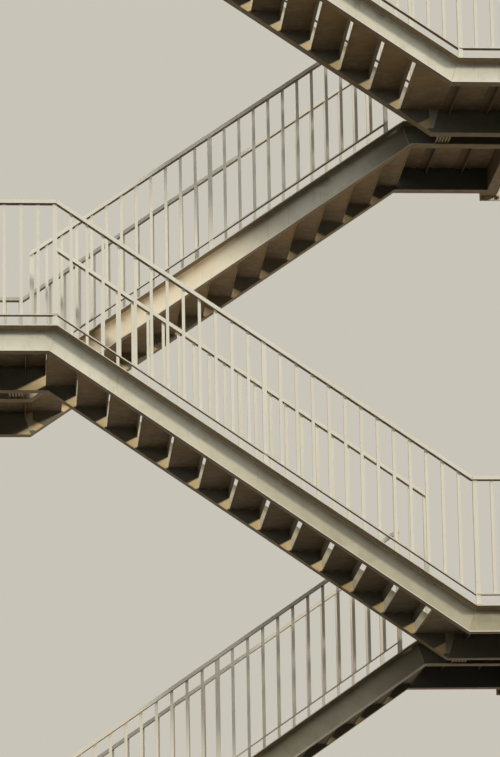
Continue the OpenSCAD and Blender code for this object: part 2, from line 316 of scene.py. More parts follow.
def weathering(paint):
    """Patterns that every finish shares: cloudy tone, fine mottle, streaks that rain draws, and specks."""
    cloud = paint.noise(0.9, 4.0, 0.6)
    mottle = paint.noise(11.0, 5.0, 0.65, bend=0.4)
    streaks = paint.noise(1.0, 4.0, 0.6, vector=paint.stretch(34, 34, 1.3))
    specks = paint.noise(210.0, 2.0, 0.5)
    return cloud, mottle, streaks, specks


def brush_marks(paint):
    """Fine upright lines that the brush left in the coat, for the relief."""
    return paint.noise(1.0, 3.0, 0.5, vector=paint.stretch(160, 160, 24, (3, 1, 0)))


def painted_coat(paint, cloud, mottle, streaks):
    """Cream gloss that has chalked in the open, yellowed in the shade and dulled near the street."""
    coat = paint.blend(cloud.ramp(0.35, 0.68), CREAM, CHALK)
    coat = paint.blend(mottle.ramp(0.52, 0.80) * 0.40, coat, TAN)
    street = (paint.z - HOME.z).ramp(3.3 * RISE, 0.6 * RISE)
    coat = paint.blend(street * (0.34 + cloud * 0.22), coat, DUST)
    return paint.blend(streaks.ramp(0.56, 0.82) * 0.25, coat, GREY_GREEN)


def lower_storey_share(paint):
    """How much darker the channels and steps of the lower storeys are painted."""
    return (paint.z - HOME.z).ramp(3.0 * RISE, 2.05 * RISE)


def downward_shade(paint, mottle):
    """How much a face looks down, broken up a little: the share of painted shade on undersides."""
    down = paint.facing[2].ramp(-0.25, -0.85)
    return down * (0.78 + mottle * 0.4).least(1.0)


def rust_start(mottle, specks):
    """How easily rust gets hold of the steel at a place."""
    return mottle * 0.9 + specks * 0.25


def rusted(paint, colour, mask, fine):
    """Rust over a colour: pale at the rim of each patch, dark in the middle."""
    stain = paint.blend(mask.ramp(0.14, 0.50), colour, PALE_RUST)
    stain = paint.blend(mask.ramp(0.40, 0.70), stain, RUST)
    return paint.blend((mask * (0.6 + fine * 0.8)).ramp(0.62, 0.95), stain, DARK_RUST)


# %% [markdown]
# ## Railing paint
#
# The railings are the palest steel on the stair. Their uprights carry a little rust in a ring at the
# foot and under the rails, where the weld was never primed, and a few drips run down from the top
# rail. Hands have worn that rail smooth. The undersides of both rails are painted brown as shade,
# which draws the thin dark line under each. The height over the channel and the way a face looks
# place all that.

# %% The railings' finish, for each kind of steelwork
FOOT_RING, WELD_BAND, UNDER_RAIL, DRIP_LENGTH = 0.030, 0.014, 0.004, 0.16


def railing_finish(kind):
    paint = Paint("railing_paint_" + kind)
    height, _ = over_channel(paint, kind)
    cloud, mottle, streaks, specks = weathering(paint)
    down = downward_shade(paint, mottle)
    coat = paint.blend(0.45, painted_coat(paint, cloud, mottle, streaks), CHALK)
    # Painted shade: faces that look down turn brown, which draws the dark line under each rail.
    coat = paint.blend(down * 0.95, coat, BROWN_SHADE)
    foot = height.ramp(FOOT_RING, 0.0) * (0.30 + mottle)
    bar_top = height.near(BASE_GAP + BASE_T, WELD_BAND) * paint.facing[2].size().ramp(0.6, 0.2)
    rail_foot = height.near(RAIL_H - RAIL_T - UNDER_RAIL, WELD_BAND)
    drip = streaks.ramp(0.60, 0.78) * height.ramp(RAIL_H - DRIP_LENGTH, RAIL_H - 0.04) * 0.22
    start = rust_start(mottle, specks)
    rust = (bar_top * start * 0.50).most(rail_foot * start * 0.42)
    rust = (foot * start * 0.95).most(rust).most(drip * start)
    chips = paint.noise(46.0, 3.0, 0.6, bend=0.6).ramp(0.735, 0.79) * mottle.ramp(0.45, 0.62)
    rust = rust.most(chips * 0.8)
    colour = rusted(paint, coat, rust, specks)
    hands = height.ramp(RAIL_H - RAIL_T, RAIL_H - 0.006) * paint.facing[2].ramp(0.2, 0.9)
    colour = paint.blend(hands * 0.22, colour, TAN)
    rough = 0.46 + mottle * 0.14 - hands * 0.16 + rust.ramp(0.3, 0.6) * 0.32 + down * 0.2
    relief = brush_marks(paint) * 0.45 + specks * 0.12 - rust.ramp(0.35, 0.6) * 0.5
    return paint.finish(colour, rough, relief, 0.0006)


RAILING = {kind: railing_finish(kind) for kind in KINDS}

# %% [markdown]
# ## Channel paint
#
# The channels' webs are the broadest faces. The sun draws the top flange's shadow on them with the
# lamps, and a thin olive band of painted shade just under the flange deepens it. Paint adds cloudy
# smears and a few runs of dirt there. The flights that fall left hang behind the others. Their webs
# get a painted warm light where the light behind them would fall, a painted glow of bounced light
# under the flange, and painted shade towards their upper ends.

# %% Tone of the webs by the kind of steelwork, with painted light and shade
WARM_LIGHT, BOUNCE_GLOW, LOW_STOREY_TONE = tone("ddd0b3"), tone("a98552"), tone("7f785c")


def web_tone(paint, kind, coat, depth, along, upright, patchy):
    """The coat with painted light and shade on the flights that fall left, and darker on the lower storeys;
    depth is measured down from the flange.
    """
    if kind == "falls_left":
        # Painted warm light on the web's lower part, a painted glow of bounced light under the flange, and
        # painted shade at the upper end.
        warm = along.ramp(0.9, 2.2)
        coat = paint.blend(upright * warm * 0.8, coat, WARM_LIGHT)
        bounce_glow = depth.ramp(0.120, 0.020) * upright * warm
        coat = paint.blend(bounce_glow * (0.3 + patchy * 0.6), coat, BOUNCE_GLOW)
        coat = paint.blend(upright * along.ramp(0.65, 0.0) * 0.80, coat, OLIVE_DIRT_AND_SHADE)
    else:
        coat = paint.blend(upright * (0.14 + patchy * 0.16), coat, GREY_GREEN)
    # Darker on the lower storeys.
    low_storey_mask = lower_storey_share(paint) * upright * (1.3 if kind == "level" else 1.0)
    return paint.blend(low_storey_mask * (0.36 + patchy * 0.48), coat, LOW_STOREY_TONE)


# %% Painted shade and dirt under the flange
def dirt_and_shade_under_flange(paint, coat, under_flange_shade, depth, upright, mottle):
    """Smears, the band of painted shade under the flange, a stained foot of the web, and thin runs down it.
    """
    smear = paint.noise(3.1, 4.0, 0.6, vector=paint.stretch(1, 1, 1, (2, 0, 4)), bend=0.5)
    smear = smear.ramp(0.58, 0.70) * depth.ramp(0.130, 0.030)
    coat = paint.blend(smear * upright * 0.50, coat, OLIVE_DIRT_AND_SHADE)
    # Painted shade: the olive band just under the flange.
    coat = paint.blend(under_flange_shade.least(0.92), coat, OLIVE_DIRT_AND_SHADE)
    foot = depth.ramp(CHANNEL_H - 0.045, CHANNEL_H - 0.008) * upright
    coat = paint.blend(foot * mottle.ramp(0.35, 0.7) * 0.25, coat, TAN)
    runs = paint.noise(1.0, 3.0, 0.6, vector=paint.stretch(52, 52, 2.2, (1, 2, 5))).ramp(0.62, 0.78)
    return paint.blend(runs * upright * depth.ramp(0.01, 0.06) * 0.25, coat, OLIVE_DIRT_AND_SHADE)


# %% [markdown]
# ## Backs of the channels
#
# The backs of the webs face the steps. Below the treads they are painted in deep shade, and each slot
# has a painted patch of sunlight beside it, where the sun would shine through onto the web. Faces are
# told apart by how far they lie from the lane's middle, to a fraction of a millimetre: the web's back
# and front are 7 mm apart. On a landing the beams across the lane are painted brown as shade, and at
# the right the webs in the wall lane, which the front lane hides from the sun, are painted in deep
# shade towards the street.

# %% Painted shade and sun patches inside the lanes
# The painted patch of sunlight beside each slot, amid the painted deep shade.
SUN_PATCH = tone("dcbf85")
SLOT_DROP, SLOT_REACH, SUN_FALL = 0.130, 0.060, 0.53
HAIR, BACK_REACH, BEAM_INSET = 0.0002, 0.004, 0.006


def slot_light(kind, over, along):
    """How near a point on a web's back is to the patch of light from the slot in front of it."""
    back = -along if kind == "level" else (1 - (along / GOING).frac()) * GOING
    return (over + back * SUN_FALL).near(-SLOT_DROP, SLOT_REACH).ramp(0.0, 0.3)


def within_landing(along):
    """1 from a landing's open side to the web of its end channel, at whichever end of the stair it is."""
    from_middle = (FAR_EDGE / 2 - along).size()
    end, open_side = FAR_EDGE / 2 + LANDING_L, FAR_EDGE / 2 - LANE_OFFSET
    before_end = from_middle.ramp(end + 0.003, end + 0.001)
    return before_end * from_middle.ramp(open_side - 0.003, open_side - 0.001)


def painted_shade_inside(paint, kind, coat, height, along, across, upright):
    """Painted deep shade on the webs' backs below the treads, with a painted sun patch at each slot."""
    inside = across.near(LANE_W / 2, LANE_W / 2 + BACK_REACH).ramp(0.0, HAIR) * upright
    if kind == "level":
        inside = inside * within_landing(along)
    over = over_tread(kind, height, along)
    shade_with_sun_patch = paint.blend(slot_light(kind, over, along), DEEP_SHADE, SUN_PATCH)
    return paint.blend(inside * over.ramp(0.004, -0.004), coat, shade_with_sun_patch)


def shade_under_landing(paint, coat, along, across, patchy):
    """Painted shade: brown on the beams between the webs, and deep shade on the wall lane's webs where they
    face the street.
    """
    between = across.near(LANE_W / 2, LANE_W / 2 - BEAM_INSET).ramp(0.0, HAIR) * within_landing(along)
    coat = paint.blend(between * (0.80 + patchy * 0.2), coat, BROWN_SHADE)
    wall_lane = (paint.y - HOME.y).ramp(LANE_W + 0.20, LANE_W + 0.25) * along.ramp(2.2, 3.0)
    to_street = paint.facing[1].ramp(-0.5, -0.9)
    return paint.blend(wall_lane * to_street * 0.80, coat, DEEP_SHADE)


# %% [markdown]
# ## Rust on the channels
#
# At the lower knee of each flight a weld seam crosses the web. It rusts first, most of all on the
# lower storeys and on the flights that fall right, and stains the web beside it. The tips of the
# flanges are painted paler, as a painted highlight. Small chips of rust come from noise.

# %% Rust at the lower knees, and the channels' whole finish
SEAM_BAND, SEAM_STAIN = 0.012, 0.045
# How far down the web and how strongly the painted shade under the top flange reaches.
UNDER_FLANGE_SHADE = {"falls_right": (0.085, 0.65), "falls_left": (0.080, 0.50), "level": (0.060, 0.50)}
LEAD = 0.2  # share of the lanes' pitch that is counted before a lane's front web, for its flanges


def knee_rust(paint, kind, along, upright, streaks, start):
    """Rust on the seam at a flight's lower knee, and the stain on the web beside it."""
    low_down = (paint.z - HOME.z).ramp(2.35 * RISE, 1.9 * RISE)
    share = 1.0 if kind == "falls_right" else 0.45
    seam = along.near(LOWER_KNEE, SEAM_BAND) * upright * (0.35 + low_down) * share
    stain = along.near(LOWER_KNEE + 0.004, SEAM_STAIN) * upright * streaks.ramp(0.42, 0.70) * low_down
    return (seam * start * 0.95).most(stain * start * 0.6)


def channel_finish(kind):
    paint = Paint("channel_paint_" + kind)
    height, along = over_channel(paint, kind)
    cloud, mottle, streaks, specks = weathering(paint)
    down = downward_shade(paint, mottle)
    patchy = paint.noise(7.0, 4.0, 0.6, bend=0.8)
    upright = paint.facing[2].size().ramp(0.7, 0.2)
    depth = height * -(1.0 if kind == "level" else math.cos(PITCH))
    across = ((paint.y - HOME.y) / LANE_PITCH + LEAD).frac() * LANE_PITCH - LEAD * LANE_PITCH
    reach, strength = UNDER_FLANGE_SHADE[kind]
    under_flange_shade = depth.ramp(reach, 0.010) * upright * (0.45 + patchy)
    coat = painted_coat(paint, cloud, mottle, streaks)
    coat = paint.blend(mottle.ramp(0.40, 0.72) * 0.25, coat, GREY_GREEN)
    coat = web_tone(paint, kind, coat, depth, along, upright, patchy)
    coat = dirt_and_shade_under_flange(paint, coat, under_flange_shade * strength, depth, upright, mottle)
    # Painted shade on the webs' backs below the treads, with painted sun patches by the slots.
    coat = painted_shade_inside(paint, kind, coat, height, along, across, upright)
    # Painted shade: faces that look down turn brown.
    coat = paint.blend(down * 0.86, coat, UNDERSIDE_SHADE)
    if kind == "level":
        # Painted shade under the landings.
        coat = shade_under_landing(paint, coat, along, across, patchy)
    # Painted highlight: the flanges' tips are painted paler.
    tip = across.near(LANE_W / 2, LANE_W / 2 + FLANGE_W - 0.004).ramp(HAIR, 0.0) * upright
    coat = paint.blend(tip * 0.85, coat, CHALK)
    rust = paint.noise(38.0, 4.0, 0.62, bend=0.7).ramp(0.735, 0.80) * cloud.ramp(0.42, 0.60) * 0.75
    if kind != "level":
        rust = knee_rust(paint, kind, along, upright, streaks, rust_start(mottle, specks)).most(rust)
    colour = rusted(paint, coat, rust, specks)
    rough = 0.50 + mottle * 0.16 + under_flange_shade * 0.2 + rust.ramp(0.3, 0.6) * 0.3 + down * 0.2
    relief = brush_marks(paint) * 0.4 + specks * 0.15 + patchy * 0.25 - rust.ramp(0.35, 0.6) * 0.5
    return paint.finish(colour, rough, relief, 0.0008)


CHANNEL = {kind: channel_finish(kind) for kind in KINDS}

# %% [markdown]
# ## Step and floor paint
#
# The folded sheets are seen from below in the photo. Their undersides are painted in a warm brown
# shade, lighter towards the front, where some light from behind reaches them, and dark towards the
# wall, and their upright faces are painted brown as shade too. The backs of the hanging sheets get a
# painted glow on the flights that fall left, and painted shade on the others. All of it is painted
# darker on the lower storeys. On top, shoes have worn the paint thin along each nosing and down the
# middle of the lane, to dull steel and a rim of rust. The corners by the stringers keep their cream.

# %% Painted shade and glow on the sheets from below and in front
RISER_SHADE, UNDER_SHADE_BROWN, UNDER_SHADE_PALE = tone("9a855f"), tone("8f744e"), tone("a4885f")
UNDER_SHADE_REAR, PAINTED_GLOW_BACK, PAINTED_SHADE_BACK = tone("453b2b"), tone("d6ad6c"), tone("5f4f37")
LOW_STOREY_DARK = tone("2f2b20")
BACK_START, BACK_FULL = 0.003, 0.012


def sheets_from_below(paint, kind, coat, over, along, across, blotches, down, upright):
    """Painted shade on the undersides, and a painted glow or painted shade on the backs of the riser sheets
    by kind of flight, which both lie below the tread's own height.
    """
    # Painted shade on the sheets' upright faces.
    coat = paint.blend(upright * (0.30 + blotches * 0.4), coat, RISER_SHADE)
    brown = paint.blend(blotches.ramp(0.30, 0.72), UNDER_SHADE_BROWN, UNDER_SHADE_PALE)
    brown = paint.blend(across.ramp(0.10, LANE_W - 0.10) * 0.80, brown, UNDER_SHADE_REAR)
    coat = paint.blend(down, coat, brown)
    # The riser sheets' backs: painted glow of light from behind on flights that fall left, painted shade on
    # the others.
    hanging = over.ramp(-BACK_START, -BACK_FULL) * upright
    if kind == "falls_left":
        coat = paint.blend(hanging * (0.45 + along.ramp(0.8, 2.4) * 0.55), coat, PAINTED_GLOW_BACK)
    else:
        coat = paint.blend(hanging * 0.6, coat, PAINTED_SHADE_BACK)
    below = (down + upright * over.ramp(0.0, -0.004)).least(1.0)
    return paint.blend(lower_storey_share(paint) * below * 0.62, coat, LOW_STOREY_DARK)


# %% Where shoes wear the sheets
NOSING_BAND = 0.035


def shoe_wear(paint, kind, along, middle):
    """The band along each nosing, and the worn middle of the lane."""
    if kind == "level":
        nosing = along.near(0.0, NOSING_BAND).most(along.near(LANE_OFFSET, NOSING_BAND))
        return nosing, paint.noise(5.0, 5.0, 0.65, bend=0.5).ramp(0.38, 0.70) * middle
    part = (along / GOING).frac()
    nosing = part.near(0.0, 0.17).most(part.near(1.0, 0.17))
    return nosing, part.near(1.0, 0.55).most(part.near(0.0, 0.2)) * middle


# %% The steps' and floors' whole finish
TREAD_DUST, BARE = tone("8f8263"), tone("77716a")
CORNER = 0.04


def step_finish(kind):
    paint = Paint("step_paint_" + kind)
    height, along = over_channel(paint, kind)
    cloud, mottle, streaks, specks = weathering(paint)
    down = downward_shade(paint, mottle)
    across = ((paint.y - HOME.y) / LANE_PITCH).frac() * LANE_PITCH
    middle = across.near(LANE_W / 2, LANE_W / 2)
    on_top = paint.facing[2].ramp(0.4, 0.9)
    upright = paint.facing[2].size().ramp(0.7, 0.2)
    blotches = paint.noise(2.6, 4.0, 0.6, vector=paint.stretch(1, 1, 1, (7, 3, 2)), bend=0.6)
    grit = paint.noise(95.0, 4.0, 0.7)
    over = over_tread(kind, height, along)
    coat = painted_coat(paint, cloud, mottle, streaks)
    coat = sheets_from_below(paint, kind, coat, over, along, across, blotches, down, upright)
    nosing, worn = shoe_wear(paint, kind, along, middle)
    tread = on_top * (worn * (0.55 + mottle * 0.8)).ramp(0.25, 0.85)
    coat = paint.blend(on_top * 0.38, coat, TREAD_DUST)
    coat = paint.blend(tread * (0.45 + grit * 0.6), coat, BARE)
    scuffs = paint.noise(1.0, 4.0, 0.6, vector=paint.stretch(18, 60, 18)).ramp(0.58, 0.72) * on_top
    coat = paint.blend(scuffs * 0.28, coat, OLIVE_DIRT_AND_SHADE)
    start = rust_start(mottle, specks)
    lip = nosing * (on_top + upright * 0.30) * (0.45 + middle * 0.6)
    corner = across.near(0.0, CORNER).most(across.near(LANE_W, CORNER)) * 0.45
    chips = paint.noise(40.0, 4.0, 0.62, bend=0.7).ramp(0.72, 0.79)
    rust = (lip * start * 0.95).most(corner * start * 0.8).most(chips * 0.6)
    rust = rust.most(down * blotches.ramp(0.60, 0.80) * start * 0.45)
    colour = rusted(paint, coat, rust, specks)
    rough = 0.58 + mottle * 0.16 + down * 0.14 - tread * 0.14 + rust.ramp(0.3, 0.6) * 0.2
    relief = brush_marks(paint) * 0.3 + specks * 0.2 + grit * on_top * 0.5 - rust.ramp(0.35, 0.6) * 0.5
    return paint.finish(colour, rough, relief, 0.0010, metallic=tread * grit.ramp(0.45, 0.7) * 0.55)


STEPS = {kind: step_finish(kind) for kind in KINDS}

# %% [markdown]
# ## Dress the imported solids
#
# Each node keeps its exact shape and gets the finish of its family. The node's name says all that is
# needed. Flights with odd numbers fall to the right, the others to the left.

# %% Give every node its finish
def kind_of(name):
    if name.startswith("landing"):
        return "level"
    return "falls_right" if is_left(int(name.split("_")[1])) else "falls_left"


def family_of(name):
    if name.endswith("railing"):
        return RAILING
    return STEPS if name.endswith(("steps", "floor")) else CHANNEL


for name, solid in nodes.items():
    solid.data.materials.clear()
    solid.data.materials.append(family_of(name)[kind_of(name)])
print("dressed", len(nodes), "nodes")

# %% [markdown]
# ## Finish of welds and bolts
#
# Welds were painted over with the rest, but rust comes back there first. So they share the coat's
# colour, with more rust and a rougher skin. Nuts and studs have lost most of their paint to rust.

# %% The finish of welds and bolts
def weld_finish(name, ground, rust_share, scale):
    """Paint of the ground's tone; the scale sets how small the patches of rust on it are."""
    paint = Paint(name)
    cloud, mottle, _, specks = weathering(paint)
    coat = paint.blend(cloud.ramp(0.35, 0.68), ground, TAN)
    # Painted shade: faces that look down turn brown.
    coat = paint.blend(downward_shade(paint, mottle) * 0.8, coat, UNDERSIDE_SHADE)
    patches = paint.noise(scale, 4.0, 0.65, bend=0.5)
    rust = (patches * 1.15 + specks * 0.25 - 0.62 + rust_share).most(0.0)
    colour = rusted(paint, coat, rust, specks)
    rough = 0.55 + rust.ramp(0.2, 0.6) * 0.32
    return paint.finish(colour, rough, specks * 0.5 + patches * 0.5, 0.0012)


WELD = {
    "steps": weld_finish("weld_paint_steps", TREAD_DUST, rust_share=0.22, scale=34.0),
    "channel": weld_finish("weld_paint_channels", tone("b3ab90"), rust_share=0.10, scale=30.0),
    "railing": weld_finish("weld_paint_railings", tone("c3bca6"), rust_share=0.12, scale=34.0),
    "bolts": weld_finish("bolt_paint", tone("8d836b"), rust_share=0.34, scale=46.0),
}

# %% [markdown]
# ## How the small pieces are made
#
# A welder's work is a few shapes repeated hundreds of times: a short stitch, a fillet round the foot
# of a bar, a nut on a stud. Each shape is modelled once with bmesh operators, and copies of its mesh
# are placed by matrices. The places come from the same `at` frames as the solids, so a bead sits in
# its corner also when it is seen from behind.

# %% Copies of one shape as one piece
def new_piece(name, work, finish, sharp=50):
    """Turns a bmesh into a piece of the stair with the given finish."""
    bmesh.ops.recalc_face_normals(work, faces=work.faces)
    mesh = bpy.data.meshes.new(name)
    work.to_mesh(mesh)
    work.free()
    mesh.materials.append(finish)
    mesh.shade_smooth()
    mesh.set_sharp_from_angle(angle=math.radians(sharp))
    piece = bpy.data.objects.new(name, mesh)
    bpy.context.scene.collection.objects.link(piece)
    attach(piece, "root")
    print(name, "has", len(mesh.polygons), "faces")


def as_shape(work):
    """Keeps a small bmesh as a mesh that can be copied."""
    mesh = bpy.data.meshes.new("shape")
    work.to_mesh(mesh)
    work.free()
    return mesh


def add_copies(work, shapes, places, chance):
    """Adds one of the shapes, picked by chance, at each place."""
    for place in places:
        once = chance.choice(shapes).copy()
        once.transform(place)
        work.from_mesh(once)
        bpy.data.meshes.remove(once)


def along_line(start, end):
    """The matrix that lays a shape, modelled along Z about the origin, between two points."""
    run = end - start
    return Matrix.Translation((start + end) / 2) @ run.to_track_quat("Z", "Y").to_matrix().to_4x4()


# %% [markdown]
# ## Weld beads
#
# A bead laid by hand looks like a row of coins pushed over: a rod whose girth rises and falls every
# few millimetres, and which tapers where the arc was struck and broken. A six-sided rod with rings,
# each ring scaled a little by chance, gives that at a few dozen faces. Half of it is inside the
# steel, as the real one has melted into it.

# %% A bead of any length, and three stitches to copy
RIPPLE = 0.007


def rod(length, radius, chance):
    """A bead along Z about the origin, tapered at both ends."""
    work = bmesh.new()
    bmesh.ops.create_cone(work, cap_ends=True, segments=6, radius1=radius, radius2=radius, depth=length)
    sides = [e for e in work.edges if abs(e.verts[0].co.z - e.verts[1].co.z) > length / 2]
    rings = max(2, round(length / RIPPLE))
    bmesh.ops.subdivide_edges(work, edges=sides, cuts=rings - 1, use_grid_fill=True)
    girth = [0.45] + [0.86 + 0.34 * chance.random() for _ in range(rings - 1)] + [0.40]
    for v in work.verts:
        ring = round((v.co.z / length + 0.5) * rings)
        v.co.x *= girth[ring]
        v.co.y *= girth[ring]
    return work


chance = random.Random(11)
STITCH = 0.045
stitches = [as_shape(rod(STITCH, 0.0042, chance)) for _ in range(3)]


def stitch_at(n, middle, axis):
    """Where a stitch goes whose middle is given, and which lies along that axis of flight n's frame."""
    ends = [[v + s * STITCH / 2 * (i == axis) for i, v in enumerate(middle)] for s in (-1, 1)]
    return along_line(*[at(n, *end) for end in ends])


def add_bead(work, start, end, radius=0.0035):
    bead = as_shape(rod((end - start).length, radius, chance))
    add_copies(work, [bead], [along_line(start, end)], chance)
    bpy.data.meshes.remove(bead)


print("stitch of", len(stitches[0].polygons), "faces")

# %% [markdown]
# ## Stitches under the steps
#
# Each folded step is welded to the backs of its two stringers from below, where nobody sees it: two
# stitches under the tread and one down the riser sheet. From the ground they are the small bright
# lumps in the brown corners.

# %% Stitches between steps and stringers
FROM_NOSING, SCATTER = (0.070, 0.185), 0.015
BEAD_CENTRE, DOWN_RISER = 0.006, 0.045
work = bmesh.new()
places = []
for n in LANDINGS:
    for k in range(1, RISERS):
        for y in (arrive_y(n), arrive_y(n) + LANE_W):
            for back in FROM_NOSING:
                x = k * GOING - back + chance.uniform(-SCATTER, SCATTER)
                places.append(stitch_at(n, (x, y, -k * RISER - BEAD_CENTRE), axis=0))
            low = -k * RISER - DOWN_RISER - chance.uniform(0, SCATTER)
            places.append(stitch_at(n, (k * GOING - BEAD_CENTRE, y, low), axis=2))
add_copies(work, stitches, places, chance)
new_piece("weld_stitches_steps", work, WELD["steps"])

# %% [markdown]
# ## Stitches under the landings
#
# The floor plates are stitched to the joists and to the channels round them, and each joist is welded
# in at both ends. The edge where the next flight starts has a long rough bead under its lip. The
# places come from the joists' own spacing, with a little chance, as no welder measures a stitch.

# %% Stitches between floors, joists and channels
JOIST_X = {True: 0.175, False: 0.280}  # first joist, on landings at the left and at the right
JOIST_PITCH, JOIST_MIDDLE, FLOOR_T = 0.333, 0.034, 0.006
STITCHES, STRAY = 4, 0.03
LIP_BACK, LIP_DROP, LIP_ENDS, LIP_BEAD = 0.007, 0.012, (0.03, 0.75), 0.006
work = bmesh.new()
places = []
for n in LANDINGS:
    for j in (0, 1):
        x = -JOIST_X[is_left(n)] - j * JOIST_PITCH
        for y0, y1 in (*LANES, (LANE_W + FLANGE_W, LANE_PITCH - FLANGE_W)):
            places += [stitch_at(n, (x, y, -FLOOR_T - JOIST_MIDDLE), axis=2) for y in (y0, y1)]
        for y0, y1 in LANES:
            for i in range(1, STITCHES + 1):
                y = y0 + (y1 - y0) * i / (STITCHES + 1) + chance.uniform(-STRAY, STRAY)
                places.append(stitch_at(n, (x, y, -FLOOR_T), axis=1))
    for webs in LANES:
        for y in webs:
            for i in range(1, STITCHES + 1):
                x = -LANDING_L * i / (STITCHES + 1) + chance.uniform(-STRAY, STRAY)
                places.append(stitch_at(n, (x, y, -FLOOR_T), axis=0))
    lip = [at(n, LANE_OFFSET - LIP_BACK, leave_y(n) + y, -LIP_DROP) for y in LIP_ENDS]
    add_bead(work, *lip, radius=LIP_BEAD)
add_copies(work, stitches, places, chance)
new_piece("weld_stitches_landings", work, WELD["steps"])

# %% [markdown]
# ## Seams at the knees of the channels
#
# A stringer and the level channel it meets are butted together and welded round the section: down the
# web, across both flanges and over their tips. The knees are mitred, apart from the one low on the
# main flight, whose seam stands upright, as in the photo. Beads laid from corner to corner of the
# section give the seam its raised line in every light.

# %% Beads across web and flanges at every knee
LEAN = CHANNEL_H * math.tan(PITCH / 2)
FILLET, TIP_INSET, TIP_T, PROUD = 0.006, 0.0035, 0.006, 0.0005
WEB_BEAD, FLANGE_BEAD = 0.0020, 0.0026
SIDES = ((0.0, -1), (LANE_W, 1))  # a lane's front and rear web, and the way their flanges point


def knee_seam(work, n, y_web, out, x, z, lean):
    """Beads over a channel with its back at y_web and its flanges out that way, at a knee at x, z."""
    thick = FLANGE_T + FILLET
    share = thick / CHANNEL_H
    face = y_web + out * WEB
    tip = y_web + out * (FLANGE_W - TIP_INSET)
    upper = at(n, x - lean * share, face, z - thick)
    lower = at(n, x - lean * (1 - share), face, z - CHANNEL_H + thick)
    add_bead(work, upper, lower, radius=WEB_BEAD)
    for dz, dx in ((PROUD, 0.0), (-CHANNEL_H - PROUD, lean)):
        add_bead(work, at(n, x - dx, y_web, z + dz), at(n, x - dx, tip, z + dz), radius=FLANGE_BEAD)
    for low, high, dx in ((TIP_T, 0.0, 0.0), (CHANNEL_H, CHANNEL_H - TIP_T, lean)):
        add_bead(work, at(n, x - dx, tip, z - low), at(n, x - dx, tip, z - high), radius=FLANGE_BEAD)


work = bmesh.new()
for n in LANDINGS:
    for y, out in SIDES:
        knee_seam(work, n, arrive_y(n) + y, out, UPPER_KNEE, 0.0, LEAN)
        if n > 1:
            lean = 0.0 if n == 3 else LEAN
            knee_seam(work, n, arrive_y(n) + y, out, LOWER_KNEE, -RISE, lean)
new_piece("weld_seams_knees", work, WELD["channel"])

# %% [markdown]
# ## Beads where channels and plates meet
#
# The level channels butt against the end channel, and the end channel and the short bracket against
# their wall plates. The lowest stringers stand on foot plates. All are welded along the edges of
# their sections, so the bead of the knees is used again.

# %% Beads at the ends of the landings' channels
BRACKET_X, BRACKET_H, BRACKET_W, PLATE_T = 0.330, 0.140, 0.058, 0.014
BEAD_INSET, ROOT_DROP, ROOT_SLOPE = 0.003, 0.017, 0.010
WEB_END, PLATE_END = 0.015, 0.002  # how far short of the flanges' faces the upright beads stop
work = bmesh.new()
for n in LANDINGS:
    for lane in (0, LANE_PITCH):
        for y, out in SIDES:
            face, tip = lane + y + out * WEB, lane + y + out * (FLANGE_W - BEAD_INSET)
            upper, lower = at(n, -LANDING_L, face, -WEB_END), at(n, -LANDING_L, face, -CHANNEL_H + WEB_END)
            add_bead(work, upper, lower)
            for z, slope in ((-ROOT_DROP, ROOT_SLOPE), (-CHANNEL_H + ROOT_DROP, -ROOT_SLOPE)):
                add_bead(work, at(n, -LANDING_L, face, z), at(n, -LANDING_L, tip, z + slope))
    wall, bracket = WALL_Y - PLATE_T, BRACKET_X - LANDING_L
    for x0, x1, z in (
        (-LANDING_L - FLANGE_W, -LANDING_L, 0.0),
        (-LANDING_L - FLANGE_W, -LANDING_L, -CHANNEL_H),
        (bracket - BRACKET_W / 2, bracket + BRACKET_W / 2, -(CHANNEL_H - BRACKET_H) / 2),
        (bracket - BRACKET_W / 2, bracket + BRACKET_W / 2, -(CHANNEL_H + BRACKET_H) / 2),
    ):
        add_bead(work, at(n, x0, wall, z), at(n, x1, wall, z))
    upper, lower = at(n, -LANDING_L, wall, -PLATE_END), at(n, -LANDING_L, wall, -CHANNEL_H + PLATE_END)
    add_bead(work, upper, lower)

# %% Beads on the foot plates
FOOT_T, TOE_H, FOOT_IN, HEEL_END = 0.012, 0.060, 0.060, 0.020
TOE_X = LOWER_KNEE - (FOOT_T + TOE_H) / FALL
HEEL_X = (EDGE - CHANNEL_H / math.cos(PITCH) + RISE - FOOT_T) / FALL
for y, out in SIDES:
    low = -RISE + FOOT_T
    face, tip = y + out * WEB, y + out * (FLANGE_W - BEAD_INSET)
    add_bead(work, at(1, HEEL_X, y, low), at(1, TOE_X, y, low))
    add_bead(work, at(1, HEEL_X + HEEL_END, face, low), at(1, TOE_X, face, low))
    add_bead(work, at(1, HEEL_X, y, low), at(1, HEEL_X, tip, low))
new_piece("weld_beads_channels", work, WELD["channel"])

# %% [markdown]
# ## Packing bars between the lanes
#
# The two lanes of a landing are kept apart by short flat bars, laid side by side on the lower flanges
# of the channels that face each other. In the photo they are a row of dark ribs under the landing.
# A cube stretched by a matrix and bevelled all round is enough for such a bar.

# %% Flat bars laid from flange to flange
def edges_between(work, verts):
    """The edges that join two of these vertices."""
    own = set(verts)
    return [e for e in work.edges if e.verts[0] in own and e.verts[1] in own]


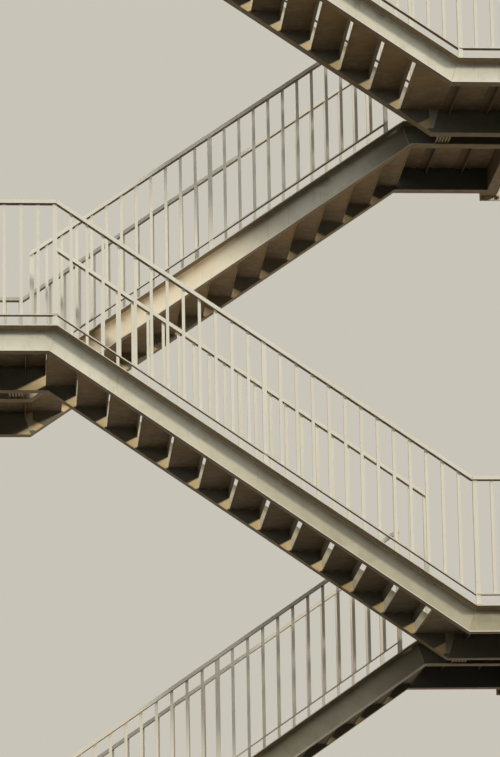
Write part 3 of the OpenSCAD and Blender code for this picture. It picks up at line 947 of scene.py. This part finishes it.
BAR_X, BAR_W, BAR_T, BAR_STEP, BARS = 0.200, 0.016, 0.008, 0.027, 5
FLANGE_ROOT, BAR_CLEARANCE, BAR_BEVEL = 0.0168, 0.014, 0.0012
work = bmesh.new()
for n in LANDINGS:
    for i in range(BARS):
        y0, y1 = LANE_W + WEB + BAR_CLEARANCE, LANE_PITCH - WEB - BAR_CLEARANCE
        centre = at(n, -BAR_X - i * BAR_STEP, (y0 + y1) / 2, -CHANNEL_H + FLANGE_ROOT + BAR_T / 2)
        stretched = Matrix.Translation(centre) @ Matrix.Diagonal((BAR_W, y1 - y0, BAR_T, 1))
        bar = bmesh.ops.create_cube(work, size=1.0, matrix=stretched)
        edges = edges_between(work, bar["verts"])
        shape = {"offset": BAR_BEVEL, "segments": 1, "profile": 0.5, "affect": "EDGES", "material": -1}
        bmesh.ops.bevel(work, geom=edges, **shape)
new_piece("packing_bars", work, WELD["channel"], sharp=30)

# %% [markdown]
# ## Fillets round posts and balusters
#
# Every upright is welded round its foot: posts on the channel, balusters on the flat bottom bar and
# under the top rail. A fillet is a low four-sided skirt, wide at the bottom and rough at its rim. On
# a slope it leans with the bar it stands on, so the copies are sheared by the pitch. Six skirts are
# made by chance and copied, because one shape repeated hundreds of times would look stamped.

# %% Skirts for posts and balusters
SINK, RIM, ROUGH = 0.001, 0.0006, 0.22  # depth in the steel, rim off the bar, wobble as share of flare


def skirt(side, flare, height, cuts, chance):
    """A skirt for a square bar of that side, standing on Z = 0."""
    work = bmesh.new()
    wide, narrow = (side / 2 + flare) * math.sqrt(2), (side / 2 + RIM) * math.sqrt(2)
    turn = Matrix.Rotation(math.radians(45), 4, "Z")
    bmesh.ops.create_cone(
        work, cap_ends=True, segments=4, radius1=wide, radius2=narrow, depth=height, matrix=turn
    )
    rims = [e for e in work.edges if abs(e.verts[0].co.z - e.verts[1].co.z) < 1e-6]
    bmesh.ops.subdivide_edges(work, edges=rims, cuts=cuts, use_grid_fill=True)
    for v in work.verts:
        rough = chance.uniform(-1, 1) * flare * ROUGH
        if v.co.z > 0:
            v.co.z += rough
        else:
            v.co.x += math.copysign(rough, v.co.x)
            v.co.y += math.copysign(rough, v.co.y)
    bmesh.ops.translate(work, vec=(0, 0, height / 2 - SINK), verts=work.verts)
    return as_shape(work)


post_skirts = [skirt(POST, flare=0.0065, height=0.0085, cuts=5, chance=chance) for _ in range(3)]
bar_skirts = [skirt(BALUSTER, flare=0.0040, height=0.0055, cuts=2, chance=chance) for _ in range(3)]
SLOPE = Matrix(((1, 0, 0, 0), (0, 1, 0, 0), (-FALL, 0, 1, 0), (0, 0, 0, 1)))
OVER = Matrix.Diagonal((1, 1, -1, 1))


def side_frame(n, rear):
    """Frame of flight n's front side, or of its rear side mirrored, with its channel's middle at Y = 0."""
    y = arrive_y(n)
    if rear:
        mirrored = Matrix.Diagonal((1, -1, 1, 1))
        return turned(n) @ Matrix.Translation((0, y + LANE_W + FLANGE_W / 2, 0)) @ mirrored
    return turned(n) @ Matrix.Translation((0, y - FLANGE_W / 2, 0))


# %% Where the uprights of a flight stand, worked out as the solids are
FREE_START, FREE_LENGTH = {True: 0.096, False: 0.240}, 3.150


def joined(n, rear):
    """Whether a flight's railing runs on round the knee at its top, and at its foot."""
    if is_left(n):
        return not rear, not rear and n > 1
    return False, rear


def flight_uprights(n, rear):
    """Place along the flight of each post and each baluster."""
    joined_top, joined_foot = joined(n, rear)
    start = FREE_START[is_left(n)]
    x0 = UPPER_KNEE - POST / 2 if joined_top else start
    x1 = LOWER_KNEE + POST / 2 if joined_foot else start + FREE_LENGTH
    spaces = 2 * round((x1 - x0) / GOING)
    posts = [x for x, there in ((x0, not joined_top), ((x0 + x1) / 2, True), (x1, not joined_foot)) if there]
    bars = [x0 + (x1 - x0) * i / spaces for i in range(1, spaces) if i != spaces // 2]
    return posts, bars


# %% Where the uprights of a landing stand
def panel_uprights(start, end, spaces, posts):
    """Places of posts and balusters on a panel: the posts take the marks whose numbers are given."""
    xs = [start + (end - start) * i / spaces for i in range(spaces + 1)]
    return [xs[i] for i in posts], [x for i, x in enumerate(xs) if i not in posts and 0 < i < spaces]


def landing_panels(n):
    """Frame, post places and baluster places of each panel round landing n."""
    top = n == 5
    front, rear = -FLANGE_W / 2, LANE_PITCH + LANE_W + FLANGE_W / 2
    guard = LANE_OFFSET + FLANGE_W / 2
    frames = []
    for y in (front, rear):
        if y == rear and not is_left(n):
            continue
        knee = UPPER_KNEE if (y == front) == is_left(n) else SEAM
        x1 = guard if top and y == rear else knee - POST / 2
        spaces = round((x1 - END_X) / PANEL_PITCH)
        base = turned(n) @ Matrix.Translation((0, y, 0))
        frames.append((base, *panel_uprights(END_X, x1, spaces, [0, spaces])))
    quarter = Matrix.Rotation(math.radians(90), 4, "Z")
    runs = [(END_X, front, rear if is_left(n) else LANE_PITCH - FLANGE_W / 2, False, not is_left(n))]
    if top:
        runs.append((guard, LANE_W + FLANGE_W + POST / 2, rear, True, False))
    for x, y0, y1, post0, post1 in runs:
        spaces = 3 * round((y1 - y0) / 3 / PANEL_PITCH)
        posts = [spaces // 3, 2 * spaces // 3] + [0] * post0 + [spaces] * post1
        base = turned(n) @ Matrix.Translation((x, 0, 0)) @ quarter
        frames.append((base, *panel_uprights(y0, y1, spaces, posts)))
    return frames


# %% Copies of the skirts at every upright
feet, heads, posts_at = [], [], []
for n in LANDINGS:
    for rear in (False, True):
        base = side_frame(n, rear)
        posts, bars = flight_uprights(n, rear)
        posts_at += [base @ Matrix.Translation((x, 0, EDGE - x * FALL)) @ SLOPE for x in posts]
        for x in bars:
            feet.append(base @ Matrix.Translation((x, 0, EDGE + BASE_GAP + BASE_T - x * FALL)) @ SLOPE)
            under = EDGE + RAIL_H - RAIL_T / math.cos(PITCH) - x * FALL
            heads.append(base @ Matrix.Translation((x, 0, under)) @ SLOPE @ OVER)
    for base, posts, bars in landing_panels(n):
        posts_at += [base @ Matrix.Translation((x, 0, 0)) for x in posts]
        feet += [base @ Matrix.Translation((x, 0, BASE_GAP + BASE_T)) for x in bars]
        heads += [base @ Matrix.Translation((x, 0, RAIL_H - RAIL_T)) @ OVER for x in bars]
work = bmesh.new()
add_copies(work, post_skirts, posts_at, chance)
new_piece("weld_fillets_posts", work, WELD["railing"])
work = bmesh.new()
add_copies(work, bar_skirts, feet + heads, chance)
new_piece("weld_fillets_balusters", work, WELD["railing"])

# %% [markdown]
# ## Anchor bolts
#
# Wall plates are held by studs set in the wall, and foot plates by smaller ones in the ground. Each
# has a washer, a nut with chamfered corners, and a few turns of thread standing out. The thread is a
# stack of rings, which is all that a stud shows at arm's length. Each bolt is a few drums, and every
# one of them takes its sizes as shares of the thread's size, as real nuts do.

# %% One bolt from drums
TURNS = 5


def bolt(size):
    """A stud end with nut and washer for a thread of that size, standing on Z = 0."""
    work = bmesh.new()

    def drum(segments, radius, low, high, chamfer):
        middle = Matrix.Translation((0, 0, (low + high) / 2))
        form = {"radius1": radius, "radius2": radius, "depth": high - low}
        made = bmesh.ops.create_cone(work, cap_ends=True, segments=segments, matrix=middle, **form)
        edges = edges_between(work, made["verts"])
        rim = [e for e in edges if all(v.co.z > high - 1e-6 for v in e.verts)]
        bmesh.ops.bevel(work, geom=rim, offset=chamfer, segments=1, profile=0.5, affect="EDGES", material=-1)

    washer = (24, size * 0.88, -0.001, size * 0.16, size * 0.03)
    nut = (6, size * 0.865, size * 0.14, size * 0.96, size * 0.09)
    stud = (12, size * 0.46, size * 0.5, size * 1.42, size * 0.06)
    for sizes in (washer, nut, stud):
        drum(*sizes)
    for turn in range(TURNS):
        low = size * (1.00 + turn * 0.075)
        drum(12, size * 0.50, low, low + size * 0.04, size * 0.015)
    return as_shape(work)


# %% Copies of the bolt at every hole
WALL_BOLT_X, WALL_BOLT_Z, BRACKET_RIM = 0.140, 0.240, 0.050
FOOT_BOLT_X, FOOT_BOLT_Y = 0.200, 0.074


def corners(width, height):
    """Where the four holes of a plate lie about its middle."""
    return [(sx * width, sy * height) for sx in (-0.5, 0.5) for sy in (-0.5, 0.5)]


def spun(chance):
    """A turn of a nut about its stud, as no two are tightened alike."""
    return Matrix.Rotation(chance.uniform(0, 1), 4, "Z")


wall_bolt, foot_bolt = bolt(0.020), bolt(0.012)
to_wall = Matrix.Rotation(math.radians(90), 4, "X")
wall_places, foot_places = [], []
for n in LANDINGS:
    for x, width, height in (
        (END_X, WALL_BOLT_X, WALL_BOLT_Z),
        (BRACKET_X - LANDING_L, BRACKET_W + BRACKET_RIM, BRACKET_H / 2),
    ):
        for dx, dz in corners(width, height):
            hole = Matrix.Translation(at(n, x + dx, WALL_Y - PLATE_T, -CHANNEL_H / 2 + dz))
            wall_places.append(hole @ to_wall @ spun(chance))
for y in ((FOOT_IN - FLANGE_W) / 2, LANE_W - (FOOT_IN - FLANGE_W) / 2):
    for dx, dy in corners(FOOT_BOLT_X, FOOT_BOLT_Y):
        hole = Matrix.Translation(at(1, (HEEL_X + TOE_X) / 2 + dx, y + dy, FOOT_T - RISE))
        foot_places.append(hole @ spun(chance))
work = bmesh.new()
add_copies(work, [wall_bolt], wall_places, chance)
add_copies(work, [foot_bolt], foot_places, chance)
new_piece("anchor_bolts", work, WELD["bolts"], sharp=30)

# %% [markdown]
# ## Seams round the top rail
#
# The top rail turns at every knee and corner. It is mitred and welded, and the weld is filed almost
# flush, so only a faint ridge is left round the tube. Four thin beads round the section make it.

# %% Filed seams at the rail's knees
BEND = RAIL_T * math.tan(PITCH / 2)
FILED_BEAD = 0.0018
work = bmesh.new()
for n in LANDINGS:
    for rear in (False, True):
        base = side_frame(n, rear)
        joined_top, joined_foot = joined(n, rear)
        for x, z, there in ((UPPER_KNEE, RAIL_H, joined_top), (LOWER_KNEE, RAIL_H - RISE, joined_foot)):
            if not there:
                continue
            near, far = RAIL_W / 2, -RAIL_W / 2
            ring = [(x, far, z), (x - BEND, far, z - RAIL_T), (x - BEND, near, z - RAIL_T), (x, near, z)]
            ring = [base @ Vector(p) for p in ring]
            for first, second in zip(ring, ring[1:] + ring[:1]):
                add_bead(work, first, second, radius=FILED_BEAD)
new_piece("weld_seams_rails", work, WELD["railing"])

# %% [markdown]
# ## Floor, backdrop and light
#
# The stair stands on a plain pale floor in front of nothing, so its own light and shade have to
# carry the picture. As in the photo, a low sun stands to the right: it throws the top flange's
# shadow on the web and shines through the slots between the steps. Broad light from higher up on the
# left, as from open sky, fills that shadow and fades towards the flange. A warm glow from behind
# reaches the undersides, and leaves the floor out. The floor is as pale as the backdrop to the
# camera, but throws back little light, so the undersides stay as deep as they are in the photo.

# %% The floor
FLOOR_SEEN, FLOOR_LIGHTS, FLOOR_REACH = tone("d2cdc1"), tone("2b2823"), 90
ground = bmesh.new()
bmesh.ops.create_grid(ground, x_segments=8, y_segments=8, size=FLOOR_REACH)
bmesh.ops.translate(ground, vec=(0, 0, HOME.z), verts=ground.verts)
floor_mesh = bpy.data.meshes.new("floor")
ground.to_mesh(floor_mesh)
ground.free()
floor = bpy.data.objects.new("floor", floor_mesh)
bpy.context.scene.collection.objects.link(floor)

floor_paint = Paint("floor_paint")
floor_tone = floor_paint.blend(floor_paint.seen(), FLOOR_LIGHTS, FLOOR_SEEN)
floor_mesh.materials.append(floor_paint.finish(floor_tone, 0.9, floor_paint.noise(3.0), 0.0005))
print("floor at", round(HOME.z, 3), "m")

# %% The backdrop
BACKDROP, SKY_LIGHT = tone("c9c4b8"), tone("f3f1ec")
world = bpy.data.worlds.new("backdrop")
bpy.context.scene.world = world
sky = Shader(world)
shown = sky.node("ShaderNodeBackground", {}, {"Color": BACKDROP, "Strength": 1.0})
lights = sky.node("ShaderNodeBackground", {}, {"Color": SKY_LIGHT, "Strength": 0.06})
mixed = sky.node("ShaderNodeMixShader", {}, [sky.seen(), lights, shown])
sky.node("ShaderNodeOutputWorld", {}, {"Surface": mixed})
print("backdrop of", len(sky.tree.nodes), "nodes")

# %% The low sun, and the open sky above it
def soft_sun(name, aside, above, strength, spread, colour):
    """A lamp so far off that its light is parallel; spread is how wide it looks, in degrees."""
    data = bpy.data.lights.new(name, "SUN")
    lamp = bpy.data.objects.new(name, data)
    bpy.context.scene.collection.objects.link(lamp)
    turn, lift = math.radians(aside), math.radians(above)
    source = Vector((math.sin(turn) * math.cos(lift), -math.cos(turn) * math.cos(lift), math.sin(lift)))
    lamp.rotation_mode = "QUATERNION"
    lamp.rotation_quaternion = (-source).to_track_quat("-Z", "Y")
    data.energy, data.angle, data.color = strength, math.radians(spread), colour
    print(name, "from", [round(v, 2) for v in source])


soft_sun("low_sun", aside=45, above=20.5, strength=2.6, spread=8, colour=(1.0, 0.955, 0.87))
soft_sun("open_sky", aside=-25, above=38, strength=1.9, spread=70, colour=(0.97, 0.985, 1.0))

# %% The light from behind
GLOW_RADIANCE, GLOW_W, GLOW_H = 0.40, 14.0, 15.0
glow_data = bpy.data.lights.new("back_glow", "AREA")
glow = bpy.data.objects.new("back_glow", glow_data)
bpy.context.scene.collection.objects.link(glow)
glow_data.shape, glow_data.size, glow_data.size_y = "RECTANGLE", GLOW_W, GLOW_H
glow.location = (2.6, 0.35, HOME.z + GLOW_H / 2)
glow.rotation_euler = (math.radians(-90), 0, 0)
glow_data.color = (1.0, 0.84, 0.62)
glow_data.energy = GLOW_RADIANCE * math.pi * GLOW_W * GLOW_H
glow.visible_camera = False
glow.visible_shadow = False
not_lit = bpy.data.collections.new("not_lit_from_behind")
not_lit.objects.link(floor)
not_lit.collection_objects[0].light_linking.link_state = "EXCLUDE"
glow.light_linking.receiver_collection = not_lit
print("light from behind of", round(glow_data.energy), "W")
